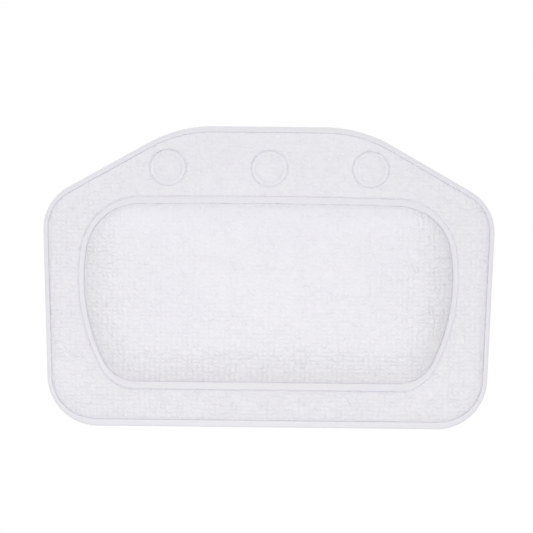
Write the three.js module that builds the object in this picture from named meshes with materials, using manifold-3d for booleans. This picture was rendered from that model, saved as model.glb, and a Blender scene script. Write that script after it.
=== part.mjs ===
// Bath pillow: two vinyl sheets welded round a crowned foam pad, held on a wall by three suction cups.
// Millimetres, +Z up, the front faces -Y. The origin is the centre of the middle cup's rim, on the wall.
import * as THREE from 'three';
import { mergeVertices } from 'three/addons/utils/BufferGeometryUtils.js';
import Module from 'manifold-3d';

const wasm = await Module();
wasm.setup();

// Outline of both sheets. Drops are measured down from the straight top edge, halves out from the middle.
const outline = {
  height: 220,
  aboveCups: 30.7,
  shoulderHalf: 66.7,
  shoulderRadius: 97.4,
  upperHalf: 165.8,
  upperDrop: 56.2,
  upperRadius: 34.5,
  lowerHalf: 159.5,
  lowerRadius: 37.1,
};

// Crease round the head pad. Drops are measured down from the middle of its slightly bowed top line.
const pad = {
  belowTopEdge: 55.3,
  height: 131.8,
  bowRadius: 4000,
  upperHalf: 128.8,
  upperDrop: 2.7,
  upperRadius: 39.6,
  sideHalf: 139.4,
  sideDrop: 78.9,
  sideRadius: 136.9,
  lowerHalf: 112.2,
  lowerRadius: 25.7,
};

// Section of the pad: a rolled side, then a low crown. Heights are measured from the plane of the welds.
const padSide = {
  rollWidth: 26,
  rollHeight: 18.3,
  crownRise: 1.7,
  backBulge: 4,
  backCrownRise: 1,
};

// The vinyl sheets, as they are and where a weld has pressed them.
const sheet = {
  thickness: 1.5,
  pressedThickness: 1.1,
  wallRun: 0.8,
};

// The weld round the rim, its raised bead and the rise of the border beside it.
const rim = {
  width: 4.6,
  edgeHeight: 1.2,
  beadHeight: 1.9,
  beadRound: 1,
  creaseHeight: 0.9,
  riseWidth: 3.2,
};

// The smooth band welded round the pad.
const band = {
  topWidth: 5,
  sideWidth: 4,
  bottomWidth: 5.5,
};

// The thin foam that puffs up the border.
const borderFoamThickness = 2;

// The ring weld round the head of each cup.
const ringWeld = {
  outerRadius: 13.5,
  innerRadius: 10.25,
};

// Suction cups. Depths are measured from the wall.
const cups = {
  spacing: 74.3,
  rimRadius: 20,
  lipWidth: 3,
  lipThickness: 1.3,
  hollowDepth: 7,
  crownWall: 1.8,
  shoulderRadius: 6.5,
  neckRadius: 4,
  headRadius: 8,
  headThickness: 2,
  headRound: 0.9,
  headDome: 0.3,
};

// The tongue on each cup's rim that a finger lifts.
const tab = {
  reach: 25.5,
  width: 8,
  thickness: 1,
  lift: 0.2,
  root: 1.5,
};

// Distance from the wall to the back sheet, the clearances, and how far every cut runs past a face.
const standoff = 12;
const seatGap = 0.3;
const boreGap = 0.4;
const overrun = 1;

// How finely curves are drawn.
const arcStepDegrees = 15;
const fewestArcSteps = 2;
const rollSteps = 4;
const crownShares = [0.6, 0.25];
const circleSteps = 16;
const latheSteps = 32;
const bellSteps = 6;
const tabEndSteps = 5;
const sameSpotShare = 0.03;

// Sizes worked out from the ones above.
const topZ = outline.aboveCups;
const padTopZ = topZ - pad.belowTopEdge;
const padHalfHeight = pad.height / 2;
const padMiddleZ = padTopZ - padHalfHeight;
const weldDepth = standoff + sheet.thickness;
const borderUnderside = borderFoamThickness + 2 * seatGap;
const borderLevel = borderUnderside + sheet.thickness;
const rimEnd = rim.width + rim.riseWidth;
const headFoot = weldDepth + seatGap;
const headEdge = headFoot + cups.headThickness;
const headTop = headEdge + cups.headDome;
const cellRadius = cups.headRadius + boreGap;
const cellUnderside = headTop + seatGap - weldDepth;
const cellLevel = cellUnderside + sheet.thickness;
const hollowRadius = cups.rimRadius - cups.lipWidth;

// A polygon of corners, listed anticlockwise as seen from the front, with each corner rounded to its radius
// as far as its edges allow. Every point carries the outward normal of the line there.
function roundedPolygon(corners) {
  const count = corners.length;
  const edges = corners.map((from, i) => {
    const to = corners[(i + 1) % count];
    const length = Math.hypot(to.x - from.x, to.z - from.z);
    return { x: (to.x - from.x) / length, z: (to.z - from.z) / length, length };
  });
  const edgeBefore = (i) => edges[(i + count - 1) % count];
  const turns = edges.map((edge, i) => {
    const { x, z } = edgeBefore(i);
    return Math.atan2(x * edge.z - z * edge.x, x * edge.x + z * edge.z);
  });
  const wanted = corners.map((corner, i) => corner.radius * Math.tan(turns[i] / 2));
  const fits = edges.map((edge, i) => Math.min(1, edge.length / (wanted[i] + wanted[(i + 1) % count])));
  const points = corners.flatMap((corner, i) => {
    const reach = wanted[i] * Math.min(fits[i], fits[(i + count - 1) % count]);
    const radius = reach / Math.tan(turns[i] / 2);
    return roundedCorner(corner, edgeBefore(i), reach, radius, turns[i]);
  });
  return points.filter((point, i) => {
    const last = points[(i + points.length - 1) % points.length];
    return Math.hypot(point.x - last.x, point.z - last.z) > sameSpotShare * pad.lowerRadius;
  });
}

// The arc that rounds one corner, from the edge that leads to it.
function roundedCorner(corner, edge, reach, radius, turn) {
  const middleX = corner.x - edge.x * reach - edge.z * radius;
  const middleZ = corner.z - edge.z * reach + edge.x * radius;
  const steps = Math.max(fewestArcSteps, Math.ceil(turn / THREE.MathUtils.degToRad(arcStepDegrees)));
  return Array.from({ length: steps + 1 }, (_, step) => {
    const angle = Math.atan2(-edge.x, edge.z) + turn * (step / steps);
    const normal = { x: Math.cos(angle), z: Math.sin(angle) };
    return { x: middleX + radius * normal.x, z: middleZ + radius * normal.z, normal };
  });
}

// Adds the left half to the right half of a list of corners, given from the bottom up.
function mirrored(rightHalf) {
  const leftHalf = rightHalf.filter((corner) => corner.x > 0).reverse();
  return [...rightHalf, ...leftHalf.map((corner) => ({ ...corner, x: -corner.x }))];
}

const outlinePoints = roundedPolygon(mirrored([
  { x: outline.lowerHalf, z: topZ - outline.height, radius: outline.lowerRadius },
  { x: outline.upperHalf, z: topZ - outline.upperDrop, radius: outline.upperRadius },
  { x: outline.shoulderHalf, z: topZ, radius: outline.shoulderRadius },
]));

const creasePoints = roundedPolygon(mirrored([
  { x: pad.lowerHalf, z: padTopZ - pad.height, radius: pad.lowerRadius },
  { x: pad.sideHalf, z: padTopZ - pad.sideDrop, radius: pad.sideRadius },
  { x: pad.upperHalf, z: padTopZ - pad.upperDrop, radius: pad.upperRadius },
  { x: 0, z: padTopZ, radius: pad.bowRadius },
]));

const spineHalf = Math.max(...creasePoints.map((point) => point.x)) - padHalfHeight;

// The line that runs inside the outline at an even distance.
function rimLoop(inset) {
  return outlinePoints.map(({ x, z, normal }) => ({ x: x - normal.x * inset, z: z - normal.z * inset }));
}

// The line round the outside of the weld band, or at an even distance outside that.
function bandLoop(outset) {
  return creasePoints.map(({ x, z, normal }) => {
    const endWidth = normal.z > 0 ? band.topWidth : band.bottomWidth;
    const width = THREE.MathUtils.lerp(band.sideWidth, endWidth, normal.z ** 2) + outset;
    return { x: x + normal.x * width, z: z + normal.z * width };
  });
}

// The line inside the pad's crease, drawn in evenly towards a level spine in the middle of the pad.
function padLoop(inset) {
  const kept = 1 - inset / padHalfHeight;
  return creasePoints.map(({ x, z }) => {
    const spineX = THREE.MathUtils.clamp(x, -spineHalf, spineHalf);
    return { x: THREE.MathUtils.lerp(spineX, x, kept), z: THREE.MathUtils.lerp(padMiddleZ, z, kept) };
  });
}

function circleLoop(centreX, radius) {
  return Array.from({ length: circleSteps }, (_, i) => {
    const angle = (2 * Math.PI * i) / circleSteps;
    return { x: centreX + radius * Math.cos(angle), z: radius * Math.sin(angle) };
  });
}

function solidOf(vertProperties, triVerts) {
  return new wasm.Manifold(new wasm.Mesh({ numProp: 3, vertProperties, triVerts }));
}

// A closed solid drawn through a section, a list of pairs from the back to the front. The first of a pair
// places a loop, and the second is the loop's height in front of the plane of the welds.
function stack(loopAt, section) {
  const loops = section.map(([place]) => loopAt(place));
  const count = loops[0].length;
  const places = loops.flatMap((loop, level) => {
    const y = -weldDepth - section[level][1];
    return loop.flatMap(({ x, z }) => [x, y, z]);
  });
  const faces = [];
  for (let below = 0; below < count * (loops.length - 1); below += count) {
    for (let i = 0; i < count; i += 1) {
      const next = (i + 1) % count;
      faces.push(below + i, below + next, below + count + next);
      faces.push(below + i, below + count + next, below + count + i);
    }
  }
  const front = count * (loops.length - 1);
  capOf(loops[0]).forEach(([a, b, c]) => faces.push(a, c, b));
  capOf(loops.at(-1)).forEach(([a, b, c]) => faces.push(front + a, front + b, front + c));
  return solidOf(new Float32Array(places), new Uint32Array(faces));
}

function capOf(loop) {
  return THREE.ShapeUtils.triangulateShape(loop.map(({ x, z }) => new THREE.Vector2(x, z)), []);
}

const cupPlaces = { left: -cups.spacing, centre: 0, right: cups.spacing };

// Adds the same round shape to a solid, or subtracts it, at every cup.
function atCups(solid, action, section) {
  return Object.values(cupPlaces).reduce((shape, x) => {
    const round = stack((radius) => circleLoop(x, radius), section);
    return shape[action](round);
  }, solid);
}

// Section of the pad from its crease inwards: a quarter ellipse, then the crown.
function padSection(reach, foot, top, crown) {
  const roll = Array.from({ length: rollSteps + 1 }, (_, step) => {
    const angle = (Math.PI / 2) * (step / rollSteps);
    return [padSide.rollWidth - reach * Math.cos(angle), foot + (top - foot) * Math.sin(angle)];
  });
  const crownWidth = padHalfHeight - padSide.rollWidth;
  const crowned = crownShares.map((share) => {
    return [padHalfHeight - crownWidth * share, top + crown * (1 - share ** 2)];
  });
  return [...roll, ...crowned];
}

function frontSection(depthBelow) {
  return padSection(padSide.rollWidth - depthBelow, 0, padSide.rollHeight - depthBelow, padSide.crownRise);
}

// The border's space between the sheets, kept a gap away from the weld round the pad and the ring welds.
function cutRoundWelds(solid, gap) {
  const wall = (start) => [
    [start + gap, -overrun],
    [start + gap, 0],
    [start + gap + sheet.wallRun, borderUnderside],
    [start + gap + sheet.wallRun, borderUnderside + overrun],
  ];
  return atCups(solid.subtract(stack(bandLoop, wall(0))), 'subtract', wall(ringWeld.outerRadius));
}

// What the front sheet is formed over: the border's space, the pad's and a cell for the head of each cup.
function frontHollow() {
  const gap = sheet.pressedThickness;
  const border = stack(rimLoop, [
    [rim.width + gap, -overrun],
    [rim.width + gap, 0],
    [rimEnd + gap, borderUnderside],
  ]);
  const padSpace = stack(padLoop, [[sheet.thickness, -overrun], ...frontSection(sheet.thickness)]);
  return atCups(cutRoundWelds(border, gap).add(padSpace), 'add', [
    [cellRadius + sheet.wallRun, -overrun],
    [cellRadius + sheet.wallRun, 0],
    [cellRadius, cellUnderside],
  ]);
}

// Front sheet: bead and crease at the rim, puffed border, weld band, crowned pad and a ring weld at each cup.
function frontCover() {
  const pressed = sheet.pressedThickness;
  const pit = (start) => [
    [start, pressed],
    [start + sheet.wallRun, borderLevel],
    [start + sheet.wallRun, borderLevel + overrun],
  ];
  const plate = stack(rimLoop, [
    [0, 0],
    [0, rim.edgeHeight],
    [rim.beadRound, rim.beadHeight],
    [rim.width - rim.beadRound, rim.beadHeight],
    [rim.width, rim.creaseHeight],
    [rimEnd, borderLevel],
  ]);
  const pitted = atCups(plate.subtract(stack(bandLoop, pit(0))), 'subtract', pit(ringWeld.outerRadius));
  const dome = padSection(padSide.rollWidth, pressed, padSide.rollHeight, padSide.crownRise);
  const outside = atCups(pitted.add(stack(padLoop, [[0, 0], ...dome])), 'add', [
    [ringWeld.innerRadius, 0],
    [ringWeld.innerRadius, pressed],
    [ringWeld.innerRadius - sheet.wallRun, cellLevel],
  ]);
  return geometryOf(outside.subtract(frontHollow()));
}

// Back sheet: flat on the plane of the welds, a low bulge behind the pad, weld marks, a hole for each neck.
function backCover() {
  const pressed = sheet.pressedThickness;
  const level = sheet.thickness;
  const mark = (start) => [
    [start + sheet.wallRun, -level - overrun],
    [start + sheet.wallRun, -level],
    [start, -pressed],
  ];
  const plate = stack(rimLoop, [
    [rim.width + sheet.wallRun, -level],
    [rim.width, -pressed],
    [0, -pressed],
    [0, 0],
  ]);
  const marked = atCups(plate.subtract(stack(bandLoop, mark(0))), 'subtract', mark(ringWeld.outerRadius));
  const outer = padSection(padSide.rollWidth, -pressed, -level - padSide.backBulge, -padSide.backCrownRise);
  const inner = padSection(padSide.rollWidth - level, 0, -padSide.backBulge, -padSide.backCrownRise);
  const bulge = stack(padLoop, [...outer.reverse(), [0, 0]]);
  const hollow = stack(padLoop, [...inner.reverse(), [level, overrun]]);
  const domed = atCups(marked.add(bulge).subtract(hollow), 'add', [
    [ringWeld.innerRadius - sheet.wallRun, -level],
    [ringWeld.innerRadius, -pressed],
    [ringWeld.innerRadius, 0],
  ]);
  return geometryOf(atCups(domed, 'subtract', [
    [cups.neckRadius + boreGap, -level - overrun],
    [cups.neckRadius + boreGap, overrun],
  ]));
}

// Foam block of the pad, just inside both sheets.
function padFoam() {
  const slack = sheet.thickness + seatGap;
  const reach = padSide.rollWidth - slack;
  const back = padSection(reach, 0, seatGap - padSide.backBulge, -padSide.backCrownRise);
  return geometryOf(stack(padLoop, [...back.slice(1).reverse(), ...frontSection(slack)]));
}

// Thin foam of the border, cut out round the pad and round the ring welds.
function borderFoam() {
  const slack = sheet.pressedThickness + seatGap;
  const slab = stack(rimLoop, [
    [rimEnd + slack, seatGap],
    [rimEnd + slack, seatGap + borderFoamThickness],
  ]);
  return geometryOf(cutRoundWelds(slab, slack));
}

// Distance of the bell's outside from the wall at a radius, and that of the hollow's roof.
function bellDepth(radius) {
  const climb = (cups.rimRadius - radius) / (cups.rimRadius - cups.shoulderRadius);
  const bellHeight = cups.hollowDepth + cups.crownWall;
  return THREE.MathUtils.lerp(cups.lipThickness, bellHeight, (1 - Math.cos(Math.PI * climb)) / 2);
}

function roofDepth(radius) {
  return cups.hollowDepth * (1 - (radius / hollowRadius) ** 2);
}

// Section of a cup, as pairs of radius and depth: the head, the neck, the bell, the lip and the hollow.
function cupSection() {
  const steps = Array.from({ length: bellSteps + 1 }, (_, step) => step / bellSteps);
  const headAndNeck = [
    [0, headTop],
    [cups.headRadius - cups.headRound, headEdge],
    [cups.headRadius, headEdge - cups.headRound],
    [cups.headRadius, headFoot],
    [cups.neckRadius, headFoot],
    [cups.neckRadius, standoff - seatGap],
    [cups.shoulderRadius, standoff - seatGap],
  ];
  const bell = steps.map((share) => {
    const radius = THREE.MathUtils.lerp(cups.shoulderRadius, cups.rimRadius, share);
    return [radius, bellDepth(radius)];
  });
  const roof = steps.map((share) => {
    const radius = hollowRadius * (1 - share);
    return [radius, roofDepth(radius)];
  });
  return [...headAndNeck, ...bell, [cups.rimRadius, 0], ...roof];
}

// Tongue with a round end that reaches down from the lip.
function tabGeometry() {
  const round = tab.width / 2;
  const root = tab.root - cups.rimRadius;
  const shape = new THREE.Shape();
  shape.moveTo(round, root);
  shape.lineTo(-round, root);
  shape.lineTo(-round, round - tab.reach);
  shape.absarc(0, round - tab.reach, round, Math.PI, 2 * Math.PI, false);
  const settings = { depth: tab.thickness, bevelEnabled: false, curveSegments: tabEndSteps };
  return new THREE.ExtrudeGeometry(shape, settings).rotateX(Math.PI / 2).translate(0, -tab.lift, 0);
}

// Turns a closed geometry into a solid, without the empty triangles at a lathe's axis.
function solidFrom(geometry) {
  geometry.deleteAttribute('normal');
  geometry.deleteAttribute('uv');
  const merged = mergeVertices(geometry);
  const corners = Array.from(merged.index.array);
  const faces = [];
  for (let i = 0; i < corners.length; i += 3) {
    const [a, b, c] = corners.slice(i, i + 3);
    if (a !== b && b !== c && c !== a) faces.push(a, b, c);
  }
  return solidOf(new Float32Array(merged.attributes.position.array), new Uint32Array(faces));
}

function geometryOf(solid) {
  const mesh = solid.getMesh();
  const geometry = new THREE.BufferGeometry();
  geometry.setAttribute('position', new THREE.BufferAttribute(mesh.vertProperties, mesh.numProp));
  geometry.setIndex(new THREE.BufferAttribute(mesh.triVerts, 1));
  geometry.computeVertexNormals();
  return geometry;
}

function suctionCup() {
  const section = cupSection().map(([radius, depth]) => new THREE.Vector2(radius, -depth));
  const bell = solidFrom(new THREE.LatheGeometry(section, latheSteps));
  return geometryOf(bell.add(solidFrom(tabGeometry())));
}

function whiteVinyl() {
  return new THREE.MeshStandardMaterial({ color: 0xeceaf0, roughness: 0.55, metalness: 0 });
}

function plainVinyl() {
  return new THREE.MeshStandardMaterial({ color: 0xe4e3e7, roughness: 0.5, metalness: 0 });
}

function creamFoam() {
  return new THREE.MeshStandardMaterial({ color: 0xf1ead8, roughness: 0.95, metalness: 0 });
}

function clearVinyl() {
  return new THREE.MeshStandardMaterial({ color: 0xdfe6ea, roughness: 0.15, metalness: 0 });
}

function piece(name, geometry, material) {
  const mesh = new THREE.Mesh(geometry, material);
  mesh.name = name;
  return mesh;
}

const bathPillow = new THREE.Group();
bathPillow.add(piece('front_cover', frontCover(), whiteVinyl()));
bathPillow.add(piece('back_cover', backCover(), plainVinyl()));
bathPillow.add(piece('pad_foam', padFoam(), creamFoam()));
bathPillow.add(piece('border_foam', borderFoam(), creamFoam()));
for (const [side, x] of Object.entries(cupPlaces)) {
  const cup = piece(`suction_cup_${side}`, suctionCup(), clearVinyl());
  cup.position.x = x;
  bathPillow.add(cup);
}

export default bathPillow;
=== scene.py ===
# %% [markdown]
# # A bath pillow in white vinyl
# The pillow is two vinyl sheets, welded to each other round a foam head pad, with three suction cups behind.
# The solid model comes first, as a fixed frame. Every piece made below sits where that frame says, in metres,
# with +Z up and the front facing -Y. The origin is the middle of the centre cup's rim, on the wall.

# %% Load the frame
import math
import bpy
import numpy as np
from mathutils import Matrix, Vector, kdtree
from mathutils.geometry import delaunay_2d_cdt


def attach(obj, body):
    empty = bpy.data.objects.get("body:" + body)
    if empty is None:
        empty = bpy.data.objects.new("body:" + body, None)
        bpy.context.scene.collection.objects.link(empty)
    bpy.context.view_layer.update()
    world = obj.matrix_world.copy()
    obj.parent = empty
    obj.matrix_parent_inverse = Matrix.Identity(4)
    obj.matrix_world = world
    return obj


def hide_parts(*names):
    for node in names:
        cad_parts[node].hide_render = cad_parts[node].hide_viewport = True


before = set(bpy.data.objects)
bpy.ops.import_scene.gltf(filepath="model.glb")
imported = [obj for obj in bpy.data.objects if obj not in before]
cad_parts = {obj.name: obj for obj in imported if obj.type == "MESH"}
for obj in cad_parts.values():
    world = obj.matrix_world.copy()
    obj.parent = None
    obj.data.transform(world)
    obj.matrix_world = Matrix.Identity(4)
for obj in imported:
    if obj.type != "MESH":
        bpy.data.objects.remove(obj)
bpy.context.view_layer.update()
MM = 0.001
print("nodes:", sorted(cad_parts))

# %% [markdown]
# The camera looks straight at the front from about one and a half metres, as a catalogue picture does. A long
# lens keeps the outline free of perspective. It could be aimed by eye, but the real width that the picture takes
# in gives the lens exactly. The pillow hangs a little askew, so the camera is rolled by the same small angle.

# %% Camera
VIEW_WIDTH, FRONT_OF_OBJECT = 389.6 * MM, 16 * MM
CAMERA_AWAY, AIM_X, AIM_Z = 1.5, -1.5 * MM, -71.6 * MM
ASKEW = math.radians(-0.63)
SENSOR = 36.0
camera = bpy.data.objects.new("camera", bpy.data.cameras.new("camera"))
camera.data.sensor_width = SENSOR
camera.data.lens = SENSOR * (CAMERA_AWAY - FRONT_OF_OBJECT) / VIEW_WIDTH
camera.location = (AIM_X, -CAMERA_AWAY, AIM_Z)
camera.rotation_euler = (math.radians(90), ASKEW, 0)
bpy.context.collection.objects.link(camera)
bpy.context.scene.camera = camera
print("lens in mm:", round(camera.data.lens, 1))

# %% [markdown]
# Every finish below is procedural: shader nodes work it out from the place on the piece, with no image and no
# unwrapping. The nodes could be laid out by hand in the shader editor. A few helpers say the same in one line
# each, and name every input as the editor labels it.

# %% Nodes, in short
def add(tree, kind, **settings):
    """Adds a node. A setting names an input by its label with _ for spaces, or one of the node's own options."""
    node = tree.nodes.new(kind)
    for key, value in settings.items():
        if hasattr(node, key):
            setattr(node, key, value)
        else:
            feed(tree, node.inputs[key.replace("_", " ")], value)
    return node

def feed(tree, socket, value):
    """Links a socket into another, or sets it to a plain value."""
    if isinstance(value, bpy.types.NodeSocket):
        tree.links.new(value, socket)
    else:
        socket.default_value = value

def sums(tree, operation, *values, kind="ShaderNodeMath"):
    """The result of a Math node on sockets and numbers, or of a Vector Math node on vectors."""
    node = add(tree, kind, operation=operation)
    for socket, value in zip(node.inputs, values):
        feed(tree, socket, value)
    return node.outputs[0]

def times(tree, first, second):
    """The product of two sockets or numbers."""
    return sums(tree, "MULTIPLY", first, second)

def ranged(tree, value, low=0.0, high=1.0, **more):
    """A value spread between two others, from 0 to 1 or from where the other settings of Map Range say."""
    return add(tree, "ShaderNodeMapRange", Value=value, To_Min=low, To_Max=high, **more).outputs["Result"]

def two_tone(tree, share, first, second):
    """A colour between two, by a share from 0 to 1."""
    mix = add(tree, "ShaderNodeMix", data_type="RGBA")
    feed(tree, mix.inputs[0], share)
    for socket, colour in ((mix.inputs[6], first), (mix.inputs[7], second)):
        feed(tree, socket, colour if isinstance(colour, bpy.types.NodeSocket) else (*colour, 1))
    return mix.outputs[2]

def seen_by_eye_or_mirror(tree):
    """1 for rays from the camera, for mirror images and for what shows through clear pieces, and 0 for light."""
    path = add(tree, "ShaderNodeLightPath").outputs
    seen = sums(tree, "MAXIMUM", path["Is Camera Ray"], path["Is Glossy Ray"])
    return sums(tree, "MAXIMUM", seen, path["Is Transmission Ray"])

def new_material(name):
    """A material, its nodes, its Principled shader and the place on the object."""
    made = bpy.data.materials.new(name)
    made.use_nodes = True
    place = add(made.node_tree, "ShaderNodeTexCoord").outputs["Object"]
    return made, made.node_tree, made.node_tree.nodes["Principled BSDF"], place

# %% [markdown]
# White goods need soft light with a direction. The pale surroundings give most of it, more from overhead than
# from the sides, so the pad's lower slope is the darkest. A broad lamp on the left and a small one nearby
# brighten what faces the camera. Together they stay at a plain level, so colours render as they are written.

# %% Light
PAD_MIDDLE = (0, -30 * MM, -90 * MM)

def lamp(name, place, width, watts, target=PAD_MIDDLE):
    """A square soft lamp that faces a point."""
    data = bpy.data.lights.new(name, "AREA")
    data.shape, data.size, data.energy = "SQUARE", width, watts
    made = bpy.data.objects.new(name, data)
    made.location = place
    made.rotation_euler = (Vector(target) - Vector(place)).to_track_quat("-Z", "Y").to_euler()
    bpy.context.collection.objects.link(made)
    return made

lamps = [lamp("key_lamp", place=(-1.4, -1.9, 0.1), width=0.9, watts=2.5),
         lamp("near_lamp", place=(0, -0.6, -0.2), width=0.3, watts=0.75)]
print("lamps in watts:", [(made.name, made.data.energy) for made in lamps])

# %% Surroundings
LIGHT_LEVEL, LIGHT_OVERHEAD = 0.33, 1.36
world = bpy.data.worlds.new("pale surroundings")
bpy.context.scene.world = world
world.use_nodes = True
tree = world.node_tree
background = tree.nodes["Background"]
background.inputs["Color"].default_value = (1, 1, 1, 1)
height = add(tree, "ShaderNodeSeparateXYZ", Vector=add(tree, "ShaderNodeTexCoord").outputs["Generated"]).outputs["Z"]
sky = ranged(tree, height, LIGHT_LEVEL, LIGHT_OVERHEAD)
tree.links.new(ranged(tree, seen_by_eye_or_mirror(tree), sky, 1.0), background.inputs["Strength"])
bpy.context.scene.view_settings.view_transform = "Standard"
print("light from", LIGHT_LEVEL, "at the horizon to", LIGHT_OVERHEAD, "overhead")

# %% [markdown]
# The floor is a plain pale sheet well below the pillow, which hangs on a wall in use. Near the pillow it is a
# matt, slightly warm surface that keeps the shadow and warms the light from below a little. Further off it fades
# to the white of the surroundings, so no horizon shows.

# %% Floor
FLOOR_Z, FLOOR_SIZE, FLOOR_CELLS = -0.6, 30, 8
FADE_FROM, FADE_TO = 0.5, 1.5
bpy.ops.mesh.primitive_grid_add(
    x_subdivisions=FLOOR_CELLS, y_subdivisions=FLOOR_CELLS, size=FLOOR_SIZE, location=(0, 0, FLOOR_Z))
floor = bpy.context.object
floor.name = "floor"
paint, tree, matt, spot = new_material("pale floor")
matt.inputs["Roughness"].default_value = 0.85
mottle = add(tree, "ShaderNodeTexNoise", Vector=spot, Scale=6.0, Detail=3.0)
tint = two_tone(tree, mottle.outputs["Fac"], (0.745, 0.74, 0.72), (0.785, 0.78, 0.76))
tree.links.new(tint, matt.inputs["Base Color"])
distance = add(tree, "ShaderNodeVectorMath", operation="LENGTH", Vector=spot).outputs["Value"]
far = ranged(tree, distance, From_Min=FADE_FROM, From_Max=FADE_TO, interpolation_type="SMOOTHSTEP")
white = add(tree, "ShaderNodeEmission", Strength=1.0)
blend = add(tree, "ShaderNodeMixShader")
tree.links.new(times(tree, far, seen_by_eye_or_mirror(tree)), blend.inputs[0])
tree.links.new(matt.outputs[0], blend.inputs[1])
tree.links.new(white.outputs[0], blend.inputs[2])
tree.links.new(blend.outputs[0], tree.nodes["Material Output"].inputs["Surface"])
floor.data.materials.append(paint)
print("floor at", FLOOR_Z, "m")

# %% [markdown]
# Two closed lines give the pillow its plan: the outline of the sheets, and the crease round the head pad. Both
# are polygons with rounded corners. They could be drawn as curves by hand, but a few corners and radii say the
# same thing and stay exact. Each line is then spaced evenly, and keeps its outward direction at every point.

# %% Rounded lines
TOP = 30.7 * MM
PAD_TOP = TOP - 55.3 * MM
PAD_HALF_HEIGHT = 65.9 * MM
PAD_MIDDLE_Z = PAD_TOP - PAD_HALF_HEIGHT

def mirrored(right_half):
    """The corners of the right half from the bottom up, then the left half's, so that they run anticlockwise."""
    left_half = [(-x, z, radius) for x, z, radius in reversed(right_half) if x > 0]
    return np.array(right_half + left_half) * MM

def outward_of(loop):
    """The outward direction at each point of a closed anticlockwise loop."""
    ahead = np.roll(loop, -1, axis=0) - np.roll(loop, 1, axis=0)
    ahead /= np.linalg.norm(ahead, axis=1)[:, None]
    return np.column_stack([ahead[:, 1], -ahead[:, 0]])

def along(path, spacing):
    """A closed path with evenly spaced points, and the outward direction at each."""
    closed = np.vstack([path, path[:1]])
    run = np.concatenate([[0], np.cumsum(np.linalg.norm(np.diff(closed, axis=0), axis=1))])
    steps = np.arange(round(run[-1] / spacing)) * run[-1] / round(run[-1] / spacing)
    even = np.column_stack([np.interp(steps, run, closed[:, axis]) for axis in (0, 1)])
    return even, outward_of(even)

def rounded(corners, spacing, arc_steps=48):
    """The line round a polygon whose corners are rounded as far as its edges allow."""
    places, radii = corners[:, :2], corners[:, 2]
    after = np.roll(places, -1, axis=0) - places
    lengths = np.linalg.norm(after, axis=1)
    after /= lengths[:, None]
    before = np.roll(after, 1, axis=0)
    turns = np.arctan2(before[:, 0] * after[:, 1] - before[:, 1] * after[:, 0], (before * after).sum(axis=1))
    wanted = radii * np.tan(turns / 2)
    fits = np.minimum(1, lengths / (wanted + np.roll(wanted, -1)))
    reach = wanted * np.minimum(fits, np.roll(fits, 1))
    path = []
    for place, edge, back, turn in zip(places, before, reach, turns):
        radius = back / math.tan(turn / 2)
        middle = place - edge * back + radius * np.array([-edge[1], edge[0]])
        angles = math.atan2(-edge[0], edge[1]) + np.linspace(0, turn, arc_steps)
        path.append(middle + radius * np.column_stack([np.cos(angles), np.sin(angles)]))
    return along(np.concatenate(path), spacing)

# %% Outline and crease
LINE_SPACING = 1.9 * MM
OUTLINE_CORNERS = mirrored([(159.5, -189.3, 37.1), (165.8, -25.5, 34.5), (66.7, 30.7, 97.4)])
CREASE_CORNERS = mirrored([
    (112.2, -156.4, 25.7), (139.4, -103.5, 136.9), (128.8, -27.3, 39.6), (0, -24.6, 4000)])
outline_line = rounded(OUTLINE_CORNERS, LINE_SPACING)
crease_line = rounded(CREASE_CORNERS, LINE_SPACING)
print("outline points:", len(outline_line[0]), "crease points:", len(crease_line[0]))

# %% [markdown]
# The height of the sheet at a place depends on how far that place is from each weld. So the sheet is made from
# distances: to the outline, to the crease round the pad and to the three round welds. This could be sculpted
# instead, but distances keep every crease the same sharpness all the way round, as a welding tool does. The
# welds aren't quite alike at the top, the sides and the bottom, so each measure is given for all three.

# %% Weld measures
# Each has three values: at the top, at the sides and at the bottom.
BAND_WIDTHS = (5.0 * MM, 3.8 * MM, 5.4 * MM)
RIM_WIDTHS = (4.2 * MM, 3.3 * MM, 5.0 * MM)
PUFF_WIDTHS = (7 * MM, 8 * MM, 17 * MM)
PUFF_SHAPES = (1.5, 1.5, 1.15)
CREASE_DEPTHS = (0, 0.3 * MM, 0.05 * MM)
GROOVE_DEPTHS = (0.05 * MM, 0.15 * MM, 0.25 * MM)
# Share of deeper print and stronger painted shade and highlight on slopes: none at the top, where the light from above
# falls.
SLOPE_PRINT_AND_SHADE = (0, 0.5, 0.5)
END_SHARPNESS = 4

def by_side(widths, outward):
    """Width of a weld, or another measure, where its line faces that way: each end's own, and the sides' between."""
    top, side, bottom = widths
    return side + (np.where(outward[:, 1] > 0, top, bottom) - side) * outward[:, 1] ** END_SHARPNESS

rim_mm = by_side(RIM_WIDTHS, outline_line[1]) / MM
print("rim's weld in mm:", round(rim_mm.min(), 1), "to", round(rim_mm.max(), 1))

# %% Distances
RING_CENTRES = [-74.3 * MM, 0.0, 74.3 * MM]
FINE_SPACING = 0.8 * MM

def inside_line(places, line, block=2000):
    """How far each place is inside a closed line, and the line's outward direction there."""
    starts, outward = line
    edges = np.roll(starts, -1, axis=0) - starts
    squared = (edges ** 2).sum(axis=1)
    depth, way = np.empty(len(places)), np.empty((len(places), 2))
    for first in range(0, len(places), block):
        some = places[first:first + block]
        away = some[:, None, :] - starts[None]
        share = np.clip((away * edges).sum(axis=2) / squared, 0, 1)
        gap = away - share[..., None] * edges
        apart = (gap ** 2).sum(axis=2)
        nearest = apart.argmin(axis=1)
        rows = np.arange(len(some))
        near_share = share[rows, nearest][:, None]
        toward = outward[nearest] * (1 - near_share) + np.roll(outward, -1, axis=0)[nearest] * near_share
        side = -np.sign((gap[rows, nearest] * toward).sum(axis=1))
        depth[first:first + block] = side * np.sqrt(apart[rows, nearest])
        way[first:first + block] = toward
    return depth, way

fine_outline = rounded(OUTLINE_CORNERS, FINE_SPACING)
fine_crease = rounded(CREASE_CORNERS, FINE_SPACING)

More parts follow.
